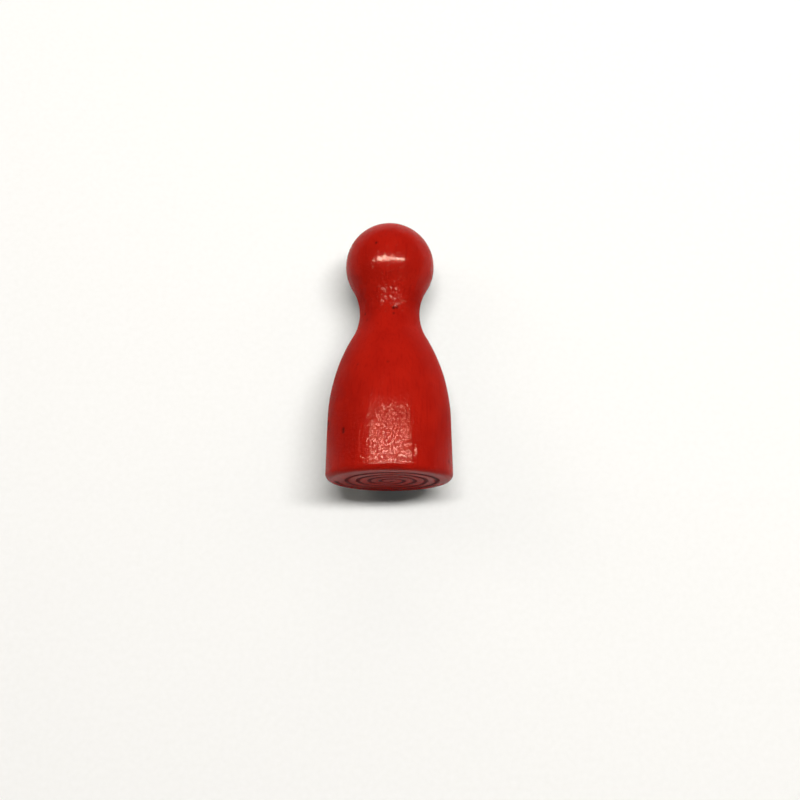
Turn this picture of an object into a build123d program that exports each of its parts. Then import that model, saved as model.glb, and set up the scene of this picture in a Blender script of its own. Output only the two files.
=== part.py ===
from build123d import *
import os
from math import atan2, cos, degrees, radians, sin, sqrt

# A playing pawn, turned from one piece of beech and dipped in red lacquer.
#
# It stands upright on its flat base. Z runs up the turning axis, and the origin is the centre
# of the base, on the surface that the pawn stands on. Everything is in millimetres.
#
# The turned outline, from the bottom up, is a flat base, a small rounded edge, a skirt that
# leans in slightly, a long body arc, a hollow cove at the neck and a ball head. Each stretch
# is tangent to the next. The facing tool left a shallow spiral groove in the base.
#
# There are two pieces, the wooden body and the film of lacquer that encloses it. Both follow
# the same outline: the wood's is the finished one, set in by the thickness of the film.

# Driving dimensions of the finished pawn.
HEIGHT = 30.0
BASE_DIAMETER = 13.8
HEAD_DIAMETER = 10.1
NECK_DIAMETER = 6.8
BODY_ARC = 20.0
COVE_ARC = 6.1
SKIRT_DRAFT = radians(1.1)
EDGE_RADIUS = 0.7
LACQUER_THICKNESS = 0.1

# The facing tool's groove: a spiral of half circles about two centres, half a pitch apart.
GROOVE_PITCH = 1.2
GROOVE_WIDTH = 0.5
GROOVE_DEPTH = 0.12
GROOVE_START_RADIUS = 0.68
GROOVE_HALF_TURNS = 9

# Where the arcs are centred, as (distance from the axis, height). The head is set by the
# height, the cove by the head, and the body arc by the cove and the skirt.
head_radius = HEAD_DIAMETER / 2
head_centre = Vector(0, HEIGHT - head_radius)

cove_offset = NECK_DIAMETER / 2 + COVE_ARC
cove_drop = sqrt((head_radius + COVE_ARC) ** 2 - cove_offset**2)
cove_centre = Vector(cove_offset, head_centre.Y - cove_drop)

skirt_outward = Vector(cos(SKIRT_DRAFT), sin(SKIRT_DRAFT))
skirt_upward = Vector(-sin(SKIRT_DRAFT), cos(SKIRT_DRAFT))
foot = Vector(BASE_DIAMETER / 2, 0)
# The body arc's centre lies on the line that runs beside the skirt, one arc radius inside it.
body_line_start = foot - skirt_outward * BODY_ARC
to_cove = cove_centre - body_line_start
body_rise = to_cove.dot(skirt_upward) - sqrt(
    (BODY_ARC + COVE_ARC) ** 2 - to_cove.dot(skirt_outward) ** 2
)
body_centre = body_line_start + skirt_upward * body_rise

edge_inset = EDGE_RADIUS * (1 + sin(SKIRT_DRAFT)) / cos(SKIRT_DRAFT)
edge_centre = Vector(foot.X - edge_inset, EDGE_RADIUS)

# The directions, in degrees, in which one arc hands over to the next.
draft_angle = degrees(SKIRT_DRAFT)
shoulder_angle = degrees(
    atan2(cove_centre.Y - body_centre.Y, cove_centre.X - body_centre.X)
)
chin_angle = degrees(
    atan2(cove_centre.Y - head_centre.Y, cove_centre.X - head_centre.X)
)

# The groove's section is a circle that dips into the base from below.
groove_section = (GROOVE_WIDTH**2 / 4 + GROOVE_DEPTH**2) / (2 * GROOVE_DEPTH)


def turned_outline(inset):
    """Draws half of the turned section, set in from the finished surface, as a closed line."""
    base = Line((0, inset), (edge_centre.X, inset))
    edge = CenterArc(edge_centre, EDGE_RADIUS - inset, -90, 90 + draft_angle)
    body = CenterArc(
        body_centre, BODY_ARC - inset, draft_angle, shoulder_angle - draft_angle
    )
    Line(edge @ 1, body @ 0)
    CenterArc(
        cove_centre,
        COVE_ARC + inset,
        180 + shoulder_angle,
        chin_angle - shoulder_angle,
    )
    head = CenterArc(head_centre, head_radius - inset, chin_angle, 90 - chin_angle)
    Line(head @ 1, base @ 0)


def facing_spiral():
    """Draws the path of the facing tool, one half circle at a time, outwards."""
    for half_turn in range(GROOVE_HALF_TURNS):
        on_far_side = half_turn % 2 == 1
        centre = GROOVE_PITCH / 4 if on_far_side else -GROOVE_PITCH / 4
        radius = GROOVE_START_RADIUS + half_turn * GROOVE_PITCH / 2
        CenterArc((centre, 0, GROOVE_DEPTH - groove_section), radius, 180 if on_far_side else 0, 180)


with BuildLine() as tool_path:
    facing_spiral()

# turned_body: the beech, from base to head in one piece.
with BuildPart() as turned_body:
    with BuildSketch(Plane.XZ):
        with BuildLine():
            turned_outline(LACQUER_THICKNESS)
        make_face()
    revolve(axis=Axis.Z)
    with BuildSketch(Plane(tool_path.wire() ^ 0)):
        Circle(groove_section + LACQUER_THICKNESS)
    sweep(path=tool_path.wire(), mode=Mode.SUBTRACT)

# lacquer_coat: the film on every face of the beech, with the same groove in its outside.
with BuildPart() as lacquer_coat:
    with BuildSketch(Plane.XZ):
        with BuildLine():
            turned_outline(0)
        make_face()
    revolve(axis=Axis.Z)
    with BuildSketch(Plane(tool_path.wire() ^ 0)):
        Circle(groove_section)
    sweep(path=tool_path.wire(), mode=Mode.SUBTRACT)
    add(turned_body.part, mode=Mode.SUBTRACT)

turned_body.part.label = "turned_body"
lacquer_coat.part.label = "lacquer_coat"

os.makedirs("parts", exist_ok=True)
export_step(turned_body.part, "parts/turned_body.step")
export_step(lacquer_coat.part, "parts/lacquer_coat.step")

print("wood", round(turned_body.part.volume), "mm3")
print("lacquer", round(lacquer_coat.part.volume), "mm3")
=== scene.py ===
import logging
import math
from dataclasses import dataclass, field
from enum import Enum
from typing import Any

import bpy
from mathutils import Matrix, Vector


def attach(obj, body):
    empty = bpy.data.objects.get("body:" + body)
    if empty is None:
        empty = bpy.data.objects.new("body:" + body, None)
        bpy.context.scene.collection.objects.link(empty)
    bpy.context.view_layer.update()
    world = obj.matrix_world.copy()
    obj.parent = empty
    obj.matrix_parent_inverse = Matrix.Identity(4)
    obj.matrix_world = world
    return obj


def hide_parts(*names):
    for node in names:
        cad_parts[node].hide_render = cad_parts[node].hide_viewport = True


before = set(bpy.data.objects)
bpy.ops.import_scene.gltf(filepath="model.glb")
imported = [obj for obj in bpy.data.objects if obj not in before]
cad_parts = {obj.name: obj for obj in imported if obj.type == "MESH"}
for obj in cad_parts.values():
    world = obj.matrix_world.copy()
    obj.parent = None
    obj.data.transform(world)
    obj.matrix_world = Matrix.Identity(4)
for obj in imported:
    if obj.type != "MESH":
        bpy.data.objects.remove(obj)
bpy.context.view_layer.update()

# A playing pawn, turned from beech and dipped in red lacquer, against a pale board.
#
# The pawn stands upright at the origin, with Z up its turning axis. It lies against the board
# behind it, which it touches with the rim of its base and the back of its head, and the camera
# looks along +Y from a little below the base. Sizes are in millimetres until they reach a
# mesh, a light or a node, where MM makes them metres.

MM = 0.001
PAWN_HEIGHT = 30.0
BODY = "root"
LOG = logging.getLogger("pawn")

Tree = bpy.types.NodeTree
Socket = bpy.types.NodeSocket
ON_POINTS = {"data_type": "FLOAT", "domain": "POINT"}


def linear_colour(hex_code: str) -> tuple[float, float, float, float]:
    """Turns an sRGB colour into the linear one that a shader takes.

    Args:
        hex_code: The colour as six hex digits.

    Returns:
        Linear red, green and blue, and an alpha of 1.
    """
    channels = [int(hex_code[place : place + 2], 16) / 255 for place in (0, 2, 4)]
    linear = [c / 12.92 if c <= 0.04045 else ((c + 0.055) / 1.055) ** 2.4 for c in channels]
    return (linear[0], linear[1], linear[2], 1.0)


def per_metre(feature: float) -> float:
    """Gives the texture scale that draws features of one size, in millimetres."""
    return 1 / (feature * MM)


def add_node(
    tree: Tree,
    kind: str,
    settings: dict[str, Any] | None = None,
    inputs: dict[str | int, Any] | None = None,
) -> bpy.types.Node:
    """Adds one node with its settings, and links or sets its inputs.

    Args:
        tree: The tree that the node goes into.
        kind: The node's type name.
        settings: The node's own properties, by name.
        inputs: Its input sockets, by name or place. A socket is linked, a value is set.

    Returns:
        The new node.
    """
    node = tree.nodes.new(kind)
    for name, value in (settings or {}).items():
        setattr(node, name, value)
    for key, value in (inputs or {}).items():
        if isinstance(value, Socket):
            tree.links.new(value, node.inputs[key])
        else:
            node.inputs[key].default_value = value
    return node


def link_object(name: str, data: bpy.types.ID) -> bpy.types.Object:
    """Puts new data into the scene as an object at the origin.

    Args:
        name: The object's name.
        data: Its mesh, light or camera.

    Returns:
        The new object.
    """
    made = bpy.data.objects.new(name, data)
    bpy.context.scene.collection.objects.link(made)
    return made


# ---------------------------------------------------------------------------------------
# Finishes


@dataclass(frozen=True)
class Finish:
    """What a surface is made of and how it was worked. Each finish draws its own shader."""

    name: str = "finish"

    def material(self) -> bpy.types.Material:
        """Makes the material from the finish's own shader.

        Returns:
            The new material.
        """
        made = bpy.data.materials.new(self.name)
        made.use_nodes = True
        made.node_tree.nodes.clear()
        surface = self.shader(made.node_tree)
        add_node(made.node_tree, "ShaderNodeOutputMaterial", inputs={"Surface": surface})
        return made

    def shader(self, tree: Tree) -> Socket:
        """Draws the shader, which each finish does in its own way."""
        raise NotImplementedError


class Blend(Enum):
    """How a ramp passes from one end to the other."""

    EVEN = "LINEAR"
    SOFT = "SMOOTHSTEP"


@dataclass(frozen=True)
class Ramp:
    """A strength that changes between two readings and stays even beyond them."""

    start: float
    end: float
    before: float = 0.0
    after: float = 1.0
    blend: Blend = Blend.EVEN


@dataclass(frozen=True)
class DippedLacquer(Finish):
    """Nitrocellulose lacquer, dipped over turned beech.

    It gives the eye a deep, nearly even red under a hard gloss. The film dries over the open
    grain in small flats, each leaning its own way, with a slight orange peel and fine upright
    lines, and these break up every highlight. The hollow of the neck is rougher, because the
    tool tears the grain there. The gloss is fullest on the head and just above the base, and
    thinner between them, where fingers hold the pawn. Painted shade darkens the red low on the
    body and in the groove of the base, where the gloss is also duller.
    """

    name: str = "dipped_red_nitrocellulose_lacquer"
    red: str = "AC1A0E"
    # Darker red, for the random clouding and for painted shade low on the body.
    clouded_and_shaded_red: str = "8C0F09"
    grain_red: str = "900E08"
    pit_red: str = "2C0707"
    # Painted shade: a darker red in the groove of the base.
    groove_painted_shade_red: str = "620C0C"
    # Sizes of the patterns across the grain, in mm. Beech pores are about 0.06 mm wide. They
    # and the grain are drawn coarser, so that they show.
    grain_width: float = 0.24
    grain_stretch: float = 10.0
    pore_width: float = 0.45
    flat_size: float = 0.22
    tear_size: float = 0.32
    peel_size: float = 0.36
    cloud_size: float = 3.5
    # How deep the soft patterns are, in mm, and how steeply the flats lean: all over, and
    # where the grain is torn.
    grain_relief: float = 0.020
    pore_relief: float = 0.004
    peel_relief: float = 0.032
    flat_lean: float = 0.075
    torn_lean: float = 0.30
    # How the patterns show, by the strength of each one's noise.
    grain_shows: Ramp = Ramp(0.50, 0.75, after=0.65)
    pores_show: Ramp = Ramp(0.60, 0.72)
    clouds_show: Ramp = Ramp(0.35, 0.75, after=0.6)
    # The painted shade in the groove shows by how deep the groove is, not by noise.
    groove_shade_shows: Ramp = Ramp(0.02, 0.55)
    # What changes with height, in mm: painted shade darkens the red from the neck down to the
    # body, the relief is calmer on the head, and the base has a gloss of its own.
    lower_body_painted_shade: Ramp = Ramp(22.0, 14.0, after=0.14)
    head_calms: Ramp = Ramp(21.0, 23.0, before=1.0, after=0.65)
    base_begins: Ramp = Ramp(0.4, 0.2)
    # The grain is torn around this height in the neck, and less so further from it, in mm.
    hollow_height: float = 19.5
    hollow_tears: Ramp = Ramp(2.4, 0.8, blend=Blend.SOFT)
    # How much of the surface the gloss covers, at each height in mm, and on the base.
    gloss_by_height: tuple[tuple[float, float], ...] = (
        (1.6, 0.36),
        (5.0, 0.13),
        (9.0, 0.18),
        (19.4, 0.17),
        (20.4, 0.10),
        (22.5, 0.50),
    )
    base_gloss: float = 0.46
    groove_gloss: float = 0.16
    gloss_roughness: float = 0.122
    # A low index keeps the gloss from growing too pale towards the pawn's edges.
    gloss_index: float = 1.2

    def shader(self, tree: Tree) -> Socket:
        """Draws the red, its grain and clouding, its painted shade, the dark pits, and the gloss over
        them.

        Args:
            tree: The material's tree.

        Returns:
            The shader's output.
        """
        place = add_node(tree, "ShaderNodeTexCoord").outputs["Object"]
        upright = add_node(
            tree,
            "ShaderNodeMapping",
            inputs={"Vector": place, "Scale": (1.0, 1.0, 1 / self.grain_stretch)},
        ).outputs[0]
        patterns = {
            "grain": (upright, self.grain_width, 2.0),
            "pores": (upright, self.pore_width, 1.0),
            "peel": (place, self.peel_size, 0.0),
            "clouds": (place, self.cloud_size, 2.0),
        }
        noise = {
            name: add_node(
                tree,
                "ShaderNodeTexNoise",
                inputs={"Vector": vector, "Scale": per_metre(size), "Detail": detail},
            ).outputs[0]
            for name, (vector, size, detail) in patterns.items()
        }
        pit, sunk_in_groove = (
            add_node(tree, "ShaderNodeAttribute", {"attribute_name": name}).outputs["Fac"]
            for name in ("pit", "groove")
        )
        level = add_node(tree, "ShaderNodeSeparateXYZ", inputs={0: place}).outputs["Z"]
        height = add_node(tree, "ShaderNodeMath", {"operation": "DIVIDE"}, {0: level, 1: MM}).outputs[0]
        masks = self._masks(tree, noise, sunk_in_groove, height)

        colour = linear_colour(self.red)
        layers = (
            # Painted shade: the red darker low on the body, from the neck downwards.
            (masks["body"], self.clouded_and_shaded_red),
            (masks["clouds"], self.clouded_and_shaded_red),
            (masks["grain"], self.grain_red),
            # Painted shade: the red darker in the groove of the base.
            (masks["groove"], self.groove_painted_shade_red),
            (pit, self.pit_red),
        )
        for amount, hex_code in layers:
            colour = add_node(
                tree,
                "ShaderNodeMix",
                {"data_type": "RGBA"},
                {"Factor": amount, 6: colour, 7: linear_colour(hex_code)},
            ).outputs[2]
        relief = self._relief(tree, place, noise, masks)
        normal = add_node(
            tree, "ShaderNodeBump", inputs={"Strength": 1.0, "Distance": 1.0, "Height": relief}
        ).outputs[0]
        # The pigment is matt, so that all of the gloss comes from the coat.
        return add_node(
            tree,
            "ShaderNodeBsdfPrincipled",
            inputs={
                "Base Color": colour,
                "Roughness": 0.5,
                "IOR": 1.5,
                "Specular IOR Level": 0.0,
                "Normal": normal,
                "Coat Weight": self._cover(tree, height, masks),
                "Coat Roughness": self.gloss_roughness,
                "Coat IOR": self.gloss_index,
                "Coat Normal": normal,
            },
        ).outputs[0]

    def _masks(
        self,
        tree: Tree,
        noise: dict[str, Socket],
        sunk_in_groove: Socket,
        height: Socket,
    ) -> dict[str, Socket]:
        """Works out where each pattern and each zone of the pawn shows.

        Args:
            tree: The material's tree.
            noise: The soft patterns, by name.
            sunk_in_groove: How deep in the groove the surface is, from 0 to 1.
            height: The height above the base, in mm.

        Returns:
            How strong each one is, by name.
        """
        off_hollow = add_node(
            tree, "ShaderNodeMath", {"operation": "SUBTRACT"}, {0: height, 1: self.hollow_height}
        ).outputs[0]
        from_hollow = add_node(
            tree, "ShaderNodeMath", {"operation": "ABSOLUTE"}, {0: off_hollow}
        ).outputs[0]
        readings = {
            "grain": (noise["grain"], self.grain_shows),
            "pores": (noise["pores"], self.pores_show),
            "clouds": (noise["clouds"], self.clouds_show),
            # Painted shade in the groove. The same reading also sets the groove's own gloss.
            "groove": (sunk_in_groove, self.groove_shade_shows),
            # Painted shade low on the body, darker from the neck downwards.
            "body": (height, self.lower_body_painted_shade),
            "head": (height, self.head_calms),
            "base": (height, self.base_begins),
            "hollow": (from_hollow, self.hollow_tears),
        }
        return {
            name: add_node(
                tree,
                "ShaderNodeMapRange",
                {"interpolation_type": ramp.blend.value},
                {0: reading, 1: ramp.start, 2: ramp.end, 3: ramp.before, 4: ramp.after},
            ).outputs[0]
            for name, (reading, ramp) in readings.items()
        }

    def _relief(
        self,
        tree: Tree,
        place: Socket,
        noise: dict[str, Socket],
        masks: dict[str, Socket],
    ) -> Socket:
        """Adds up the fine relief of the film, in metres, and calms it on the head.

        Args:
            tree: The material's tree.
            place: The place on the surface.
            noise: The soft patterns, by name.
            masks: Where each pattern and zone shows.

        Returns:
            The height of the relief.
        """
        tears = self._flats(tree, place, self.tear_size)
        torn_grain = add_node(
            tree, "ShaderNodeMath", {"operation": "MULTIPLY"}, {0: masks["hollow"], 1: tears}
        ).outputs[0]
        relief = 0.0
        for shape, depth in (
            (noise["grain"], self.grain_relief * MM),
            (masks["pores"], -self.pore_relief * MM),
            (noise["peel"], self.peel_relief * MM),
            (self._flats(tree, place, self.flat_size), self.flat_lean),
            (torn_grain, self.torn_lean),
        ):
            relief = add_node(
                tree, "ShaderNodeMath", {"operation": "MULTIPLY_ADD"}, {0: shape, 1: depth, 2: relief}
            ).outputs[0]
        return add_node(
            tree, "ShaderNodeMath", {"operation": "MULTIPLY"}, {0: relief, 1: masks["head"]}
        ).outputs[0]

    def _flats(self, tree: Tree, place: Socket, size: float) -> Socket:
        """Splits the film into the small leaning flats that it dries in over open grain.

        Args:
            tree: The material's tree.
            place: The place on the surface.
            size: How far across a flat is, in mm.

        Returns:
            The height of the flats, in metres for a lean of one.
        """
        cells = add_node(
            tree, "ShaderNodeTexVoronoi", inputs={"Vector": place, "Scale": per_metre(size)}
        ).outputs
        from_middle = add_node(
            tree, "ShaderNodeVectorMath", {"operation": "SUBTRACT"}, {0: place, 1: cells["Position"]}
        ).outputs[0]
        lean = add_node(
            tree,
            "ShaderNodeVectorMath",
            {"operation": "SUBTRACT"},
            {0: cells["Color"], 1: (0.5, 0.5, 0.5)},
        ).outputs[0]
        return add_node(
            tree, "ShaderNodeVectorMath", {"operation": "DOT_PRODUCT"}, {0: from_middle, 1: lean}
        ).outputs["Value"]

    def _cover(self, tree: Tree, height: Socket, masks: dict[str, Socket]) -> Socket:
        """Works out how much of the surface the gloss covers.

        Args:
            tree: The material's tree.
            height: The height above the base, in mm.
            masks: Where each pattern and zone shows.

        Returns:
            The share covered, from 0 to 1.
        """
        share_of_height = add_node(
            tree, "ShaderNodeMath", {"operation": "DIVIDE"}, {0: height, 1: PAWN_HEIGHT}
        ).outputs[0]
        gloss = add_node(tree, "ShaderNodeFloatCurve", inputs={"Value": share_of_height})
        curve = gloss.mapping.curves[0]
        curve.points[0].location = (0.0, self.gloss_by_height[0][1])
        curve.points[1].location = (1.0, self.gloss_by_height[-1][1])
        for level, amount in self.gloss_by_height:
            curve.points.new(level / PAWN_HEIGHT, amount)
        for point in curve.points:
            point.handle_type = "VECTOR"
        gloss.mapping.update()
        cover = gloss.outputs[0]
        for zone, own_gloss in (("base", self.base_gloss), ("groove", self.groove_gloss)):
            cover = add_node(
                tree, "ShaderNodeMix", {"data_type": "FLOAT"}, {0: masks[zone], 2: cover, 3: own_gloss}
            ).outputs[0]
        return cover


@dataclass(frozen=True)
class TurnedBeech(Finish):
    """European beech, steamed, turned and sanded.

    It gives the eye a pinkish tan with fine upright grain, and short darker ray flecks.
    """

    name: str = "turned_european_beech"
    pale: str = "D9B48A"
    dark: str = "B98A5E"
    fleck: str = "8A5A38"
    ring_width: float = 1.6
    fleck_width: float = 0.3
    fleck_stretch: float = 8.0
    flecks_show: Ramp = Ramp(0.6, 0.7, after=0.7)

    def shader(self, tree: Tree) -> Socket:
        """Draws the growth rings across the rod and the ray flecks along it.

        Args:
            tree: The material's tree.

        Returns:
            The shader's output.
        """
        place = add_node(tree, "ShaderNodeTexCoord").outputs["Object"]
        rings = add_node(
            tree,
            "ShaderNodeTexWave",
            {"wave_type": "RINGS", "rings_direction": "Z"},
            {
                "Vector": place,
                "Scale": per_metre(self.ring_width) / (2 * math.pi),
                "Distortion": 2.0,
                "Detail": 2.0,
            },
        ).outputs["Fac"]
        upright = add_node(
            tree,
            "ShaderNodeMapping",
            inputs={"Vector": place, "Scale": (1.0, 1.0, 1 / self.fleck_stretch)},
        ).outputs[0]
        field_of_flecks = add_node(
            tree,
            "ShaderNodeTexNoise",
            inputs={"Vector": upright, "Scale": per_metre(self.fleck_width), "Detail": 1.0},
        ).outputs[0]
        show = self.flecks_show
        flecks = add_node(
            tree,
            "ShaderNodeMapRange",
            inputs={0: field_of_flecks, 1: show.start, 2: show.end, 3: show.before, 4: show.after},
        ).outputs[0]
        wood = add_node(
            tree,
            "ShaderNodeMix",
            {"data_type": "RGBA"},
            {"Factor": rings, 6: linear_colour(self.pale), 7: linear_colour(self.dark)},
        ).outputs[2]
        flecked = add_node(
            tree,
            "ShaderNodeMix",
            {"data_type": "RGBA"},
            {"Factor": flecks, 6: wood, 7: linear_colour(self.fleck)},
        ).outputs[2]
        return add_node(
            tree, "ShaderNodeBsdfPrincipled", inputs={"Base Color": flecked, "Roughness": 0.55}
        ).outputs[0]


@dataclass(frozen=True)
class LinerBoard(Finish):
    """Bleached liner board, calendered: a pale matt sheet, seen from its printed side only.

    It gives the eye a plain warm white with a trace of fibre. The back of the sheet is clear,
    so that the pawn can be seen from every side.
    """

    name: str = "bleached_liner_board"
    white: str = "F6F5F2"
    shade: str = "F0EFEB"
    fibre_size: float = 0.6

    def shader(self, tree: Tree) -> Socket:
        """Draws the white sheet and clears its back.

        Args:
            tree: The material's tree.

        Returns:
            The shader's output.
        """
        place = add_node(tree, "ShaderNodeTexCoord").outputs["Object"]
        fibres = add_node(
            tree,
            "ShaderNodeTexNoise",
            inputs={"Vector": place, "Scale": per_metre(self.fibre_size), "Detail": 3.0},
        ).outputs[0]
        sheet = add_node(
            tree,
            "ShaderNodeMix",
            {"data_type": "RGBA"},
            {"Factor": fibres, 6: linear_colour(self.white), 7: linear_colour(self.shade)},
        ).outputs[2]
        front = add_node(
            tree,
            "ShaderNodeBsdfPrincipled",
            inputs={"Base Color": sheet, "Roughness": 0.9, "Specular IOR Level": 0.0},
        ).outputs[0]
        back = add_node(tree, "ShaderNodeBsdfTransparent").outputs[0]
        behind = add_node(tree, "ShaderNodeNewGeometry").outputs["Backfacing"]
        return add_node(tree, "ShaderNodeMixShader", inputs={0: behind, 1: front, 2: back}).outputs[0]


# ---------------------------------------------------------------------------------------
# The pawn's form


@dataclass(frozen=True)
class TurnedOutline:
    """Half of the turned section: base, edge, skirt, body arc, neck cove and head, in mm."""

    height: float = PAWN_HEIGHT
    base_diameter: float = 13.8
    head_diameter: float = 10.1
    neck_diameter: float = 6.8
    body_arc: float = 20.0
    cove_arc: float = 6.1
    skirt_draft: float = math.radians(1.1)
    edge_radius: float = 0.7

    @property
    def head_centre(self) -> tuple[float, float]:
        """The head's centre, as distance from the axis and height."""
        return (0.0, self.height - self.head_diameter / 2)

    @property
    def cove_centre(self) -> tuple[float, float]:
        """The centre of the neck's hollow, which is tangent to the head.

        Returns:
            Its distance from the axis and its height.
        """
        offset = self.neck_diameter / 2 + self.cove_arc
        reach = self.head_diameter / 2 + self.cove_arc
        return (offset, self.head_centre[1] - math.sqrt(reach**2 - offset**2))

    @property
    def body_centre(self) -> tuple[float, float]:
        """The centre of the body's arc, which is tangent to the skirt and to the cove.

        Returns:
            Its distance from the axis and its height.
        """
        sine, cosine = math.sin(self.skirt_draft), math.cos(self.skirt_draft)
        start = (self.base_diameter / 2 - cosine * self.body_arc, -sine * self.body_arc)
        gap = (self.cove_centre[0] - start[0], self.cove_centre[1] - start[1])
        across = gap[0] * cosine + gap[1] * sine
        along = gap[1] * cosine - gap[0] * sine
        rise = along - math.sqrt((self.body_arc + self.cove_arc) ** 2 - across**2)
        return (start[0] - sine * rise, start[1] + cosine * rise)

    def points(self, inset: float, base_step: float, side_step: float) -> list[tuple[float, float]]:
        """Walks the outline from the middle of the base to the crown.

        Args:
            inset: How far the outline is set in from the finished surface.
            base_step: The spacing of the points on the base and round its edge.
            side_step: The spacing of the points everywhere else.

        Returns:
            Each point as distance from the axis and height, in mm.
        """
        draft = self.skirt_draft
        edge_inset = self.edge_radius * (1 + math.sin(draft)) / math.cos(draft)
        edge_centre = (self.base_diameter / 2 - edge_inset, self.edge_radius)
        cove, body, head = self.cove_centre, self.body_centre, self.head_centre
        shoulder = math.atan2(cove[1] - body[1], cove[0] - body[0])
        chin = math.atan2(cove[1] - head[1], cove[0] - head[0])
        quarter = math.pi / 2

        walk = [(0.0, inset)]
        arcs = (
            (edge_centre, self.edge_radius - inset, -quarter, draft, base_step),
            (body, self.body_arc - inset, draft, shoulder, side_step),
            (cove, self.cove_arc + inset, math.pi + shoulder, math.pi + chin, side_step),
            (head, self.head_diameter / 2 - inset, chin, quarter, side_step),
        )
        for centre, radius, start, end, step in arcs:
            last = walk[-1]
            first = (centre[0] + radius * math.cos(start), centre[1] + radius * math.sin(start))
            runs = round(math.dist(last, first) / step)
            for run in range(1, runs + 1):
                walk.append(tuple(a + (b - a) * run / runs for a, b in zip(last, first)))
            turns = max(2, round(radius * abs(end - start) / step))
            for turn in range(1, turns + 1):
                angle = start + (end - start) * turn / turns
                walk.append((centre[0] + radius * math.cos(angle), centre[1] + radius * math.sin(angle)))
        walk[-1] = (0.0, walk[-1][1])
        return walk


@dataclass(frozen=True)
class FacingGroove:
    """The facing tool's spiral in the base: half circles about two centres, in mm."""

    pitch: float = 1.2
    width: float = 0.5
    depth: float = 0.12
    start_radius: float = 0.68
    outer_turn: int = 4
    waver: float = 0.07
    waver_length: float = 2.5

    @property
    def section_radius(self) -> float:
        """The radius of the circular section that dips into the base."""
        return (self.width**2 / 4 + self.depth**2) / (2 * self.depth)


@dataclass(frozen=True)
class Blemish:
    """A pit or a pimple in the film, placed by its bearing from the front and its height."""

    bearing: float
    height: float
    radius: float
    depth: float
    darkness: float = 1.0


def raised_fibre(bearing: float, foot: float, top: float) -> tuple[Blemish, ...]:
    """Lays out one fibre of the wood that stands proud under the film.

    Args:
        bearing: Its bearing from the front, in degrees.
        foot: The height of its lower end.
        top: The height of its upper end.

    Returns:
        A row of small pimples, close enough to run together.
    """
    spacing = 0.15
    steps = round((top - foot) / spacing)
    return tuple(
        Blemish(bearing, foot + spacing * step, radius=0.42, depth=-0.050, darkness=0.0)
        for step in range(steps + 1)
    )


# Each one's bearing in degrees, its height, radius and depth in mm, and how dark it is. A
# positive bearing is to the right of the front. A negative depth stands proud.
NAMED_BLEMISHES = (
    Blemish(-17, 25.8, 0.24, 0.050),
    Blemish(8, 18.7, 0.34, 0.060),
    Blemish(14, 18.75, 0.30, 0.050, 0.8),
    Blemish(8, 18.3, 0.20, -0.030, 0.0),
    Blemish(8, 18.0, 0.24, 0.040, 0.7),
    Blemish(80, 20.2, 0.40, 0.060, 0.7),
    Blemish(-52, 18.4, 0.22, 0.040),
    Blemish(-43, 17.5, 0.20, 0.040, 0.7),
    Blemish(-44, 4.3, 0.30, 0.070),
    Blemish(-44, 4.6, 0.30, 0.070),
    Blemish(-72, 5.3, 0.34, 0.050),
    Blemish(-75, 6.0, 0.42, 0.060),
    Blemish(-79, 5.9, 0.45, 0.070),
    Blemish(-77, 6.9, 0.42, 0.070),
    Blemish(-82, 7.0, 0.50, 0.100),
    Blemish(67, 1.6, 0.34, 0.040),
    Blemish(-1, 11.6, 0.22, 0.030, 0.6),
    Blemish(-33, 11.6, 0.20, 0.030, 0.6),
    Blemish(42, 9.0, 0.20, -0.030, 0.0),
    Blemish(46, 1.5, 0.20, -0.025, 0.0),
    Blemish(-11, 14.6, 0.20, -0.025, 0.0),
    *raised_fibre(bearing=-27, foot=1.3, top=4.8),
    *raised_fibre(bearing=29, foot=5.6, top=7.0),
    *raised_fibre(bearing=26, foot=1.2, top=2.2),
)


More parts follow.
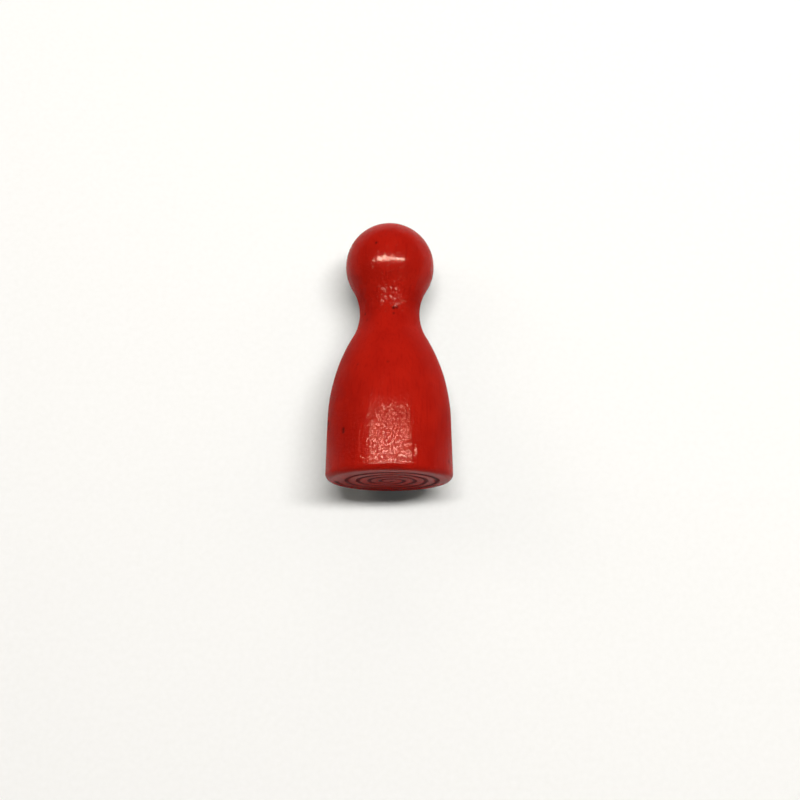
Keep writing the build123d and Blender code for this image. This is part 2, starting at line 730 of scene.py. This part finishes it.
@dataclass
class TurnedSurface:
    """A Geometry Nodes group that turns an outline about Z and cuts the spiral groove in it."""

    groove: FacingGroove = field(default_factory=FacingGroove)
    segments: int = 96
    # Points closer than this, in mm, are one: the seam and the two poles.
    weld_distance: float = 0.0001

    def tree(self) -> Tree:
        """Builds the group.

        Returns:
            The tree, with named inputs for the outline, its inset and the groove's sizes.
        """
        tree = bpy.data.node_groups.new("turned_surface", "GeometryNodeTree")
        sizes = {
            "Inset": 0.0,
            "Groove pitch": self.groove.pitch * MM,
            "Groove section radius": self.groove.section_radius * MM,
            "Groove depth": self.groove.depth * MM,
            "Groove start radius": self.groove.start_radius * MM,
            "Groove outer turn": float(self.groove.outer_turn),
            "Groove waver": self.groove.waver * MM,
        }
        socket = tree.interface.new_socket
        socket("Outline", in_out="INPUT", socket_type="NodeSocketObject")
        socket("Segments", in_out="INPUT", socket_type="NodeSocketInt").default_value = self.segments
        for name, value in sizes.items():
            socket(name, in_out="INPUT", socket_type="NodeSocketFloat").default_value = value
        socket("Surface", in_out="OUTPUT", socket_type="NodeSocketGeometry")

        given = add_node(tree, "NodeGroupInput").outputs
        turned = self._turn(tree, given)
        position = add_node(tree, "GeometryNodeInputPosition").outputs[0]
        groove_height = self._groove_height(tree, given, position)
        place = add_node(tree, "ShaderNodeSeparateXYZ", inputs={0: position}).outputs
        lifted = add_node(
            tree, "ShaderNodeMath", {"operation": "MAXIMUM"}, {0: place["Z"], 1: groove_height}
        )
        moved = add_node(
            tree,
            "ShaderNodeCombineXYZ",
            inputs={"X": place["X"], "Y": place["Y"], "Z": lifted.outputs[0]},
        )
        lift = add_node(
            tree, "ShaderNodeMath", {"operation": "SUBTRACT"}, {0: lifted.outputs[0], 1: place["Z"]}
        )
        sunk = add_node(
            tree,
            "ShaderNodeMath",
            {"operation": "DIVIDE"},
            {0: lift.outputs[0], 1: given["Groove depth"]},
        )
        marked = add_node(
            tree,
            "GeometryNodeStoreNamedAttribute",
            ON_POINTS,
            {"Geometry": turned, "Name": "groove", "Value": sunk.outputs[0]},
        )
        grooved = add_node(
            tree,
            "GeometryNodeSetPosition",
            inputs={"Geometry": marked.outputs[0], "Position": moved.outputs[0]},
        )
        add_node(tree, "NodeGroupOutput", inputs={"Surface": grooved.outputs[0]})
        return tree

    def _turn(self, tree: Tree, given: Any) -> Socket:
        """Turns the outline about Z and closes the seam and the two poles.

        Args:
            tree: The group being built.
            given: The group's inputs.

        Returns:
            The turned mesh.
        """
        outline = add_node(tree, "GeometryNodeObjectInfo", inputs={"Object": given["Outline"]})
        count = add_node(
            tree,
            "GeometryNodeAttributeDomainSize",
            {"component": "MESH"},
            {"Geometry": outline.outputs["Geometry"]},
        ).outputs["Point Count"]
        columns = add_node(tree, "ShaderNodeMath", {"operation": "ADD"}, {0: given["Segments"], 1: 1.0})
        grid = add_node(
            tree,
            "GeometryNodeMeshGrid",
            inputs={"Size X": 1.0, "Size Y": 1.0, "Vertices X": columns.outputs[0], "Vertices Y": count},
        )
        position = add_node(tree, "GeometryNodeInputPosition").outputs[0]
        flat = add_node(tree, "ShaderNodeSeparateXYZ", inputs={0: position}).outputs
        angle = add_node(
            tree, "ShaderNodeMapRange", inputs={0: flat["X"], 1: -0.5, 2: 0.5, 3: 0.0, 4: 2 * math.pi}
        )
        last = add_node(tree, "ShaderNodeMath", {"operation": "SUBTRACT"}, {0: count, 1: 1.0})
        row = add_node(
            tree, "ShaderNodeMapRange", inputs={0: flat["Y"], 1: -0.5, 2: 0.5, 3: 0.0, 4: last.outputs[0]}
        )
        nearest_row = add_node(tree, "ShaderNodeMath", {"operation": "ROUND"}, {0: row.outputs[0]})
        sample = add_node(
            tree,
            "GeometryNodeSampleIndex",
            {"data_type": "FLOAT_VECTOR", "domain": "POINT", "clamp": True},
            {"Geometry": outline.outputs["Geometry"], "Value": position, "Index": nearest_row.outputs[0]},
        )
        turned = add_node(
            tree,
            "ShaderNodeVectorRotate",
            {"rotation_type": "Z_AXIS"},
            {"Vector": sample.outputs[0], "Angle": angle.outputs[0]},
        )
        placed = add_node(
            tree,
            "GeometryNodeSetPosition",
            inputs={"Geometry": grid.outputs["Mesh"], "Position": turned.outputs[0]},
        )
        closed = add_node(
            tree,
            "GeometryNodeMergeByDistance",
            inputs={"Geometry": placed.outputs[0], "Distance": self.weld_distance * MM},
        )
        return closed.outputs[0]

    def _groove_height(self, tree: Tree, given: Any, position: Socket) -> Socket:
        """Works out how high the groove's roof is over each point of the base.

        The spiral's half circles have one centre in front of the X axis and another behind
        it. The nearest turn is found by rounding, and the roof is the circular section above
        it, grown by the inset.

        Args:
            tree: The group being built.
            given: The group's inputs.
            position: The place of each point.

        Returns:
            The roof's height, below the base away from the groove.
        """
        plan = add_node(
            tree, "ShaderNodeVectorMath", {"operation": "MULTIPLY"}, {0: position, 1: (1, 1, 0)}
        ).outputs[0]
        place = add_node(tree, "ShaderNodeSeparateXYZ", inputs={0: plan}).outputs
        unevenness = add_node(
            tree,
            "ShaderNodeTexNoise",
            inputs={"Vector": plan, "Scale": per_metre(self.groove.waver_length), "Detail": 1.0},
        ).outputs[0]
        found = {
            "across": place["X"],
            "back": place["Y"],
            "noise": unevenness,
            "pitch": given["Groove pitch"],
            "start radius": given["Groove start radius"],
            "outer turn": given["Groove outer turn"],
            "waver": given["Groove waver"],
            "section radius": given["Groove section radius"],
            "depth": given["Groove depth"],
            "inset": given["Inset"],
        }
        sums = (
            ("in front", "LESS_THAN", "back", 0.0),
            ("side", "MULTIPLY_ADD", "in front", 0.5, -0.25),
            ("centre", "MULTIPLY", "side", "pitch"),
            ("from centre", "SUBTRACT", "across", "centre"),
            ("from centre squared", "MULTIPLY", "from centre", "from centre"),
            ("reach squared", "MULTIPLY_ADD", "back", "back", "from centre squared"),
            ("reach", "SQRT", "reach squared"),
            ("half in front", "MULTIPLY", "in front", 0.5),
            ("first radius", "MULTIPLY_ADD", "half in front", "pitch", "start radius"),
            ("beyond first", "SUBTRACT", "reach", "first radius"),
            ("turns out", "DIVIDE", "beyond first", "pitch"),
            ("whole turns", "ROUND", "turns out"),
            ("not inside first", "MAXIMUM", "whole turns", 0.0),
            ("outermost", "SUBTRACT", "outer turn", "in front"),
            ("turn", "MINIMUM", "not inside first", "outermost"),
            ("turn radius", "MULTIPLY_ADD", "turn", "pitch", "first radius"),
            ("off line", "SUBTRACT", "reach", "turn radius"),
            ("swing", "MULTIPLY_ADD", "noise", 2.0, -1.0),
            ("off wavering line", "MULTIPLY_ADD", "swing", "waver", "off line"),
            ("section", "ADD", "section radius", "inset"),
            ("section squared", "MULTIPLY", "section", "section"),
            ("off squared", "MULTIPLY", "off wavering line", "off wavering line"),
            ("under root", "SUBTRACT", "section squared", "off squared"),
            ("inside", "MAXIMUM", "under root", 0.0),
            ("rise", "SQRT", "inside"),
            ("centre height", "SUBTRACT", "depth", "section radius"),
            ("roof", "ADD", "rise", "centre height"),
        )
        for name, operation, *terms in sums:
            values = {slot: found.get(term, term) for slot, term in enumerate(terms)}
            sum_node = add_node(tree, "ShaderNodeMath", {"operation": operation}, values)
            found[name] = sum_node.outputs[0]
        return found["roof"]


@dataclass
class LacquerFilm:
    """The dipped film: a closed shell that follows the wood, with its own waves and pits."""

    outline: TurnedOutline = field(default_factory=TurnedOutline)
    surface: TurnedSurface = field(default_factory=TurnedSurface)
    thickness: float = 0.1
    outer_segments: int = 240
    inner_segments: int = 96
    base_step: float = 0.065
    side_step: float = 0.16
    inner_base_step: float = 0.13
    inner_side_step: float = 0.4
    wave_length: float = 4.5
    wave_height: float = 0.03
    pits_per_square_centimetre: float = 5.0
    pit_radius: tuple[float, float] = (0.10, 0.22)
    pit_depth: float = 0.025
    pit_darkness: float = 0.7
    # The heights between which the waves and pits grow in, above the flat base and its edge.
    relief_starts: float = 0.5
    relief_full: float = 2.0
    seed: int = 7

    def build(self, finish: Finish) -> bpy.types.Object:
        """Makes the film as one plain mesh and dresses it.

        Args:
            finish: What the film is made of.

        Returns:
            The finished piece, riding on the pawn.
        """
        helpers = {
            "Outer outline": self._outline_object("outer_outline", 0.0, self.base_step, self.side_step),
            "Inner outline": self._outline_object(
                "inner_outline", self.thickness, self.inner_base_step, self.inner_side_step
            ),
            "Named blemishes": self._blemish_object(),
        }
        piece = link_object("lacquer_film", bpy.data.meshes.new("lacquer_film"))
        turning = piece.modifiers.new("turning", "NODES")
        turning.node_group = self._tree(finish.material())
        for item in turning.node_group.interface.items_tree:
            if item.item_type == "SOCKET" and item.name in helpers:
                turning[item.identifier] = helpers[item.name]
        depsgraph = bpy.context.evaluated_depsgraph_get()
        mesh = bpy.data.meshes.new_from_object(
            piece.evaluated_get(depsgraph), preserve_all_data_layers=True, depsgraph=depsgraph
        )
        piece.modifiers.clear()
        piece.data = mesh
        for helper in helpers.values():
            bpy.data.meshes.remove(helper.data)
        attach(piece, BODY)
        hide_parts("lacquer_coat")
        return piece

    def _outline_object(
        self, name: str, inset: float, base_step: float, side_step: float
    ) -> bpy.types.Object:
        """Makes the outline as a line of vertices in the XZ plane.

        Args:
            name: The helper's name.
            inset: How far the outline is set in from the finished surface, in mm.
            base_step: The spacing on the base, in mm.
            side_step: The spacing elsewhere, in mm.

        Returns:
            The helper object.
        """
        walk = self.outline.points(inset, base_step, side_step)
        mesh = bpy.data.meshes.new(name)
        vertices = [(reach * MM, 0.0, height * MM) for reach, height in walk]
        mesh.from_pydata(vertices, [(i, i + 1) for i in range(len(walk) - 1)], [])
        return link_object(name, mesh)

    def _blemish_object(self) -> bpy.types.Object:
        """Makes a vertex for each named blemish, with its size, depth and darkness.

        Returns:
            The helper object.
        """
        walk = self.outline.points(0.0, self.base_step, self.side_step)
        vertices = []
        for blemish in NAMED_BLEMISHES:
            reach = min(walk[1:-1], key=lambda point: abs(point[1] - blemish.height))[0]
            bearing = math.radians(blemish.bearing)
            vertices.append(
                (reach * math.sin(bearing) * MM, -reach * math.cos(bearing) * MM, blemish.height * MM)
            )
        mesh = bpy.data.meshes.new("named_blemishes")
        mesh.from_pydata(vertices, [], [])
        for name, scale in (("radius", MM), ("depth", MM), ("darkness", 1.0)):
            values = [getattr(blemish, name) * scale for blemish in NAMED_BLEMISHES]
            layer = mesh.attributes.new("blemish_" + name, "FLOAT", "POINT")
            layer.data.foreach_set("value", values)
        return link_object("named_blemishes", mesh)

    def _tree(self, material: bpy.types.Material) -> Tree:
        """Builds the tree that turns the film, waves and pits it, and closes it inside.

        Args:
            material: What the tree sets on the film.

        Returns:
            The tree, with named inputs for its sizes.
        """
        tree = bpy.data.node_groups.new("lacquer_film", "GeometryNodeTree")
        socket = tree.interface.new_socket
        for name in ("Outer outline", "Inner outline", "Named blemishes"):
            socket(name, in_out="INPUT", socket_type="NodeSocketObject")
        sizes = {
            "Film thickness": self.thickness * MM,
            "Wave height": self.wave_height * MM,
            "Pit density": self.pits_per_square_centimetre * 1e4,
            "Smallest pit": self.pit_radius[0] * MM,
            "Largest pit": self.pit_radius[1] * MM,
            "Pit depth": self.pit_depth * MM,
        }
        for name, value in sizes.items():
            socket(name, in_out="INPUT", socket_type="NodeSocketFloat").default_value = value
        counts = {"Outer segments": self.outer_segments, "Inner segments": self.inner_segments}
        for name, value in {**counts, "Seed": self.seed}.items():
            socket(name, in_out="INPUT", socket_type="NodeSocketInt").default_value = value
        socket("Film", in_out="OUTPUT", socket_type="NodeSocketGeometry")

        given = add_node(tree, "NodeGroupInput").outputs
        surface = self.surface.tree()
        outer, inner = (
            add_node(
                tree,
                "GeometryNodeGroup",
                {"node_tree": surface},
                {"Outline": given[f"{side} outline"], "Segments": given[f"{side} segments"]},
            )
            for side in ("Outer", "Inner")
        )
        tree.links.new(given["Film thickness"], inner.inputs["Inset"])
        relieved = self._relief(tree, given, outer.outputs[0])
        inside = add_node(tree, "GeometryNodeFlipFaces", inputs={"Mesh": inner.outputs[0]})
        shell = add_node(tree, "GeometryNodeJoinGeometry")
        for part in (relieved, inside.outputs[0]):
            tree.links.new(part, shell.inputs[0])
        smooth = add_node(tree, "GeometryNodeSetShadeSmooth", inputs={0: shell.outputs[0]})
        real = add_node(tree, "GeometryNodeRealizeInstances", inputs={0: smooth.outputs[0]})
        dressed = add_node(
            tree, "GeometryNodeSetMaterial", inputs={"Geometry": real.outputs[0], "Material": material}
        )
        add_node(tree, "NodeGroupOutput", inputs={"Film": dressed.outputs[0]})
        return tree

    def _blemish_points(self, tree: Tree, given: Any, mesh: Socket) -> Socket:
        """Gathers the named blemishes, and scatters small pits over the pawn's back.

        Args:
            tree: The film's tree.
            given: The tree's inputs.
            mesh: The smooth turned surface.

        Returns:
            A point for each one, with its radius, depth and darkness.
        """
        place = add_node(tree, "GeometryNodeInputPosition").outputs[0]
        back = add_node(tree, "ShaderNodeSeparateXYZ", inputs={0: place}).outputs["Y"]
        behind = add_node(
            tree, "FunctionNodeCompare", {"operation": "GREATER_THAN"}, {0: back, 1: 0.0}
        ).outputs[0]
        scattered = add_node(
            tree,
            "GeometryNodeDistributePointsOnFaces",
            {"distribute_method": "RANDOM"},
            {"Mesh": mesh, "Selection": behind, "Density": given["Pit density"], "Seed": given["Seed"]},
        ).outputs["Points"]
        spread = add_node(
            tree,
            "FunctionNodeRandomValue",
            {"data_type": "FLOAT"},
            {"Min": given["Smallest pit"], "Max": given["Largest pit"], "Seed": given["Seed"]},
        )
        facts = {
            "blemish_radius": spread.outputs[1],
            "blemish_depth": given["Pit depth"],
            "blemish_darkness": self.pit_darkness,
        }
        for name, value in facts.items():
            scattered = add_node(
                tree,
                "GeometryNodeStoreNamedAttribute",
                ON_POINTS,
                {"Geometry": scattered, "Name": name, "Value": value},
            ).outputs[0]
        named = add_node(tree, "GeometryNodeObjectInfo", inputs={"Object": given["Named blemishes"]})
        named_points = add_node(
            tree, "GeometryNodeMeshToPoints", inputs={"Mesh": named.outputs["Geometry"]}
        )
        blemishes = add_node(tree, "GeometryNodeJoinGeometry")
        for points in (named_points.outputs[0], scattered):
            tree.links.new(points, blemishes.inputs[0])
        return blemishes.outputs[0]

    def _relief(self, tree: Tree, given: Any, mesh: Socket) -> Socket:
        """Waves the outer surface, sinks the pits and stores how dark each one is.

        Args:
            tree: The film's tree.
            given: The tree's inputs.
            mesh: The smooth turned surface.

        Returns:
            The surface with its relief and its "pit" attribute.
        """
        blemishes = self._blemish_points(tree, given, mesh)
        nearest = add_node(
            tree, "GeometryNodeSampleNearest", {"domain": "POINT"}, {"Geometry": blemishes}
        )
        gap = add_node(tree, "GeometryNodeProximity", {"target_element": "POINTS"}, {0: blemishes})
        sampled = {}
        for name in ("blemish_radius", "blemish_depth", "blemish_darkness"):
            attribute = add_node(
                tree, "GeometryNodeInputNamedAttribute", {"data_type": "FLOAT"}, {"Name": name}
            )
            sampled[name] = add_node(
                tree,
                "GeometryNodeSampleIndex",
                ON_POINTS,
                {"Geometry": blemishes, "Value": attribute.outputs[0], "Index": nearest.outputs[0]},
            ).outputs[0]
        profile = add_node(
            tree,
            "ShaderNodeMapRange",
            {"interpolation_type": "SMOOTHSTEP"},
            {0: gap.outputs["Distance"], 1: sampled["blemish_radius"], 2: 0.0, 3: 0.0, 4: 1.0},
        ).outputs[0]

        position = add_node(tree, "GeometryNodeInputPosition").outputs[0]
        height = add_node(tree, "ShaderNodeSeparateXYZ", inputs={0: position}).outputs["Z"]
        above_base = add_node(
            tree,
            "ShaderNodeMapRange",
            inputs={0: height, 1: self.relief_starts * MM, 2: self.relief_full * MM, 3: 0.0, 4: 1.0},
        ).outputs[0]
        waves = add_node(
            tree,
            "ShaderNodeTexNoise",
            inputs={"Vector": position, "Scale": per_metre(self.wave_length), "Detail": 1.0},
        ).outputs[0]
        found = {
            "wave": waves,
            "wave height": given["Wave height"],
            "mask": above_base,
            "profile": profile,
            "depth": sampled["blemish_depth"],
            "dark": sampled["blemish_darkness"],
        }
        sums = (
            ("swing", "MULTIPLY_ADD", "wave", 2.0, -1.0),
            ("swell", "MULTIPLY", "swing", "wave height"),
            ("sunk", "MULTIPLY", "profile", "depth"),
            ("relief", "SUBTRACT", "swell", "sunk"),
            ("masked", "MULTIPLY", "relief", "mask"),
            ("shade", "MULTIPLY", "profile", "dark"),
            ("pit", "MULTIPLY", "shade", "mask"),
        )
        for name, operation, *terms in sums:
            values = {slot: found.get(term, term) for slot, term in enumerate(terms)}
            sum_node = add_node(tree, "ShaderNodeMath", {"operation": operation}, values)
            found[name] = sum_node.outputs[0]
        stored = add_node(
            tree,
            "GeometryNodeStoreNamedAttribute",
            ON_POINTS,
            {"Geometry": mesh, "Name": "pit", "Value": found["pit"]},
        )
        outwards = add_node(tree, "GeometryNodeInputNormal").outputs[0]
        offset = add_node(
            tree, "ShaderNodeVectorMath", {"operation": "SCALE"}, {0: outwards, "Scale": found["masked"]}
        )
        return add_node(
            tree,
            "GeometryNodeSetPosition",
            inputs={"Geometry": stored.outputs[0], "Offset": offset.outputs[0]},
        ).outputs[0]


@dataclass
class BeechBody:
    """The turned wood, which keeps its CAD shape and lies wholly under the film."""

    def build(self, finish: Finish) -> bpy.types.Object:
        """Gives the CAD body its wood.

        Args:
            finish: What the body is made of.

        Returns:
            The CAD object.
        """
        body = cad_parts["turned_body"]
        body.data.materials.clear()
        body.data.materials.append(finish.material())
        return body


# ---------------------------------------------------------------------------------------
# The board, the light and the camera


class LightUse(Enum):
    """What a light does: shade surfaces, show in their gloss, or both."""

    SHADING = "shading"
    REFLECTION = "reflection"
    BOTH = "both"


@dataclass(frozen=True)
class SoftLight:
    """A rectangular soft light, in mm, aimed at a point of the pawn."""

    name: str
    place: tuple[float, float, float]
    size: tuple[float, float]
    radiance: float
    use: LightUse
    colour: str = "FFFFFF"
    target: tuple[float, float, float] = (0.0, 0.0, 14.0)

    def build(self) -> bpy.types.Object:
        """Makes the light.

        Returns:
            The light object, aimed and hidden from the camera.
        """
        data = bpy.data.lights.new(self.name, "AREA")
        data.shape = "RECTANGLE"
        data.size, data.size_y = self.size[0] * MM, self.size[1] * MM
        data.energy = self.radiance * math.pi * data.size * data.size_y
        data.color = linear_colour(self.colour)[:3]
        light = link_object(self.name, data)
        light.location = Vector(self.place) * MM
        aim = Vector(self.target) - Vector(self.place)
        light.rotation_euler = aim.to_track_quat("-Z", "Y").to_euler()
        light.visible_camera = False
        light.visible_diffuse = self.use is not LightUse.REFLECTION
        light.visible_glossy = self.use is not LightUse.SHADING
        # The pawn is hidden from diffuse rays, so a shading light is reached by shadow rays only.
        data.cycles.use_multiple_importance_sampling = self.use is not LightUse.SHADING
        return light


@dataclass
class Studio:
    """The pale board and floor, the soft lights and the surroundings, in mm.

    The strips are what the gloss reflects: two near halves in the body, and a far one in the
    head and the neck. The other lights in front shade the pawn and the board.
    """

    outline: TurnedOutline = field(default_factory=TurnedOutline)
    sheet_size: float = 600.0
    sky: str = "FBFBFA"
    sky_strength: float = 0.95
    ambient_strength: float = 0.056
    reflected_strength: float = 0.06
    lights: tuple[SoftLight, ...] = (
        SoftLight("key", (80, -500, 63), (450, 42), 47.5, LightUse.SHADING),
        SoftLight("overhead", (20, -220, 420), (500, 300), 0.72, LightUse.SHADING, "FFF6EE"),
        SoftLight("fill_left", (-450, -300, 220), (300, 200), 2.2, LightUse.SHADING, "FFF6EE"),
        SoftLight("fill_right", (450, -300, 220), (300, 200), 1.1, LightUse.SHADING, "FFF1E4"),
        SoftLight("strip_left", (-23.5, -78, 24.4), (53, 5.7), 218.0, LightUse.REFLECTION, "FFE2CB"),
        SoftLight("strip_right", (26.5, -78, 24.4), (53, 5.7), 218.0, LightUse.REFLECTION, "FFE2CB"),
        SoftLight("far_strip", (1.5, -500, 17), (660, 40), 210.0, LightUse.REFLECTION, "FFE2CB"),
        SoftLight("back_left", (-200, 240, 160), (180, 180), 3.0, LightUse.BOTH),
        SoftLight("back_right", (200, 240, 120), (120, 200), 2.0, LightUse.BOTH),
    )

    def build(self, finish: Finish) -> None:
        """Sets the board behind the pawn and the floor under it, and lights them.

        Args:
            finish: What the board and the floor are made of.
        """
        material = finish.material()
        board = self._sheet("board", material)
        board.rotation_euler = (math.pi / 2 + self._lean(), 0.0, 0.0)
        board.location = (0.0, self.outline.base_diameter / 2 * MM, 0.0)
        floor = self._sheet("floor", material)
        # Neither sheet casts a shadow, so that the lights behind the board reach the pawn's
        # back. Only the camera sees the floor, which lights nothing.
        board.visible_shadow = False
        floor.visible_shadow = False
        floor.visible_diffuse = False
        floor.visible_glossy = False
        floor.visible_transmission = False
        for light in self.lights:
            light.build()
        self._surroundings()

    def _lean(self) -> float:
        """Works out how far the board leans so that it touches the base rim and the head.

        Returns:
            The angle between the board and the turning axis, in radians.
        """
        head_height = self.outline.head_centre[1]
        base, head = self.outline.base_diameter / 2, self.outline.head_diameter / 2
        return math.atan2(base, head_height) - math.asin(head / math.hypot(base, head_height))

    def _sheet(self, name: str, material: bpy.types.Material) -> bpy.types.Object:
        """Makes a large flat sheet that faces up.

        Args:
            name: The sheet's name.
            material: What it is made of.

        Returns:
            The sheet, at the origin.
        """
        half = self.sheet_size / 2 * MM
        corners = [(-half, -half, 0), (half, -half, 0), (half, half, 0), (-half, half, 0)]
        mesh = bpy.data.meshes.new(name)
        mesh.from_pydata(corners, [], [(0, 1, 2, 3)])
        mesh.materials.append(material)
        return link_object(name, mesh)

    def _surroundings(self) -> None:
        """Fills the studio: pale to the camera, soft on surfaces, and dim in the gloss."""
        world = bpy.data.worlds.new("studio")
        world.use_nodes = True
        world.node_tree.nodes.clear()
        tree = world.node_tree
        ray = add_node(tree, "ShaderNodeLightPath").outputs
        seen = add_node(
            tree,
            "ShaderNodeMix",
            {"data_type": "FLOAT"},
            {0: ray["Is Camera Ray"], 2: self.ambient_strength, 3: self.sky_strength},
        )
        strength = add_node(
            tree,
            "ShaderNodeMix",
            {"data_type": "FLOAT"},
            {0: ray["Is Glossy Ray"], 2: seen.outputs[0], 3: self.reflected_strength},
        )
        sky = add_node(
            tree,
            "ShaderNodeBackground",
            inputs={"Color": linear_colour(self.sky), "Strength": strength.outputs[0]},
        )
        add_node(tree, "ShaderNodeOutputWorld", inputs={"Surface": sky.outputs[0]})
        bpy.context.scene.world = world


@dataclass(frozen=True)
class Viewpoint:
    """The camera: a little below the base, looking along +Y and up."""

    place: tuple[float, float, float] = (1.17, -92.86, -16.79)
    tilt: float = math.radians(15.57)
    lens: float = 39.24
    sensor: float = 36.0

    def build(self) -> bpy.types.Object:
        """Makes the scene's camera.

        Returns:
            The camera object.
        """
        data = bpy.data.cameras.new("camera")
        data.lens = self.lens
        data.sensor_width = self.sensor
        data.clip_start, data.clip_end = 5 * MM, 5000 * MM
        camera = link_object("camera", data)
        camera.location = Vector(self.place) * MM
        camera.rotation_euler = (math.pi / 2 + self.tilt, 0.0, 0.0)
        bpy.context.scene.camera = camera
        return camera


def main() -> None:
    """Builds the pawn and its studio in order, and reports each piece."""
    logging.basicConfig(level=logging.INFO, format="%(name)s: %(message)s")
    bpy.context.scene.view_settings.view_transform = "Standard"
    Viewpoint().build()
    Studio().build(LinerBoard())
    pieces = (BeechBody().build(TurnedBeech()), LacquerFilm().build(DippedLacquer()))
    for piece in pieces:
        # Hidden from diffuse rays, the pawn doesn't tint the board pink. Its shadow stays.
        piece.visible_diffuse = False
        LOG.info("%s: %d faces", piece.name, len(piece.data.polygons))


if __name__ == "__main__":
    main()
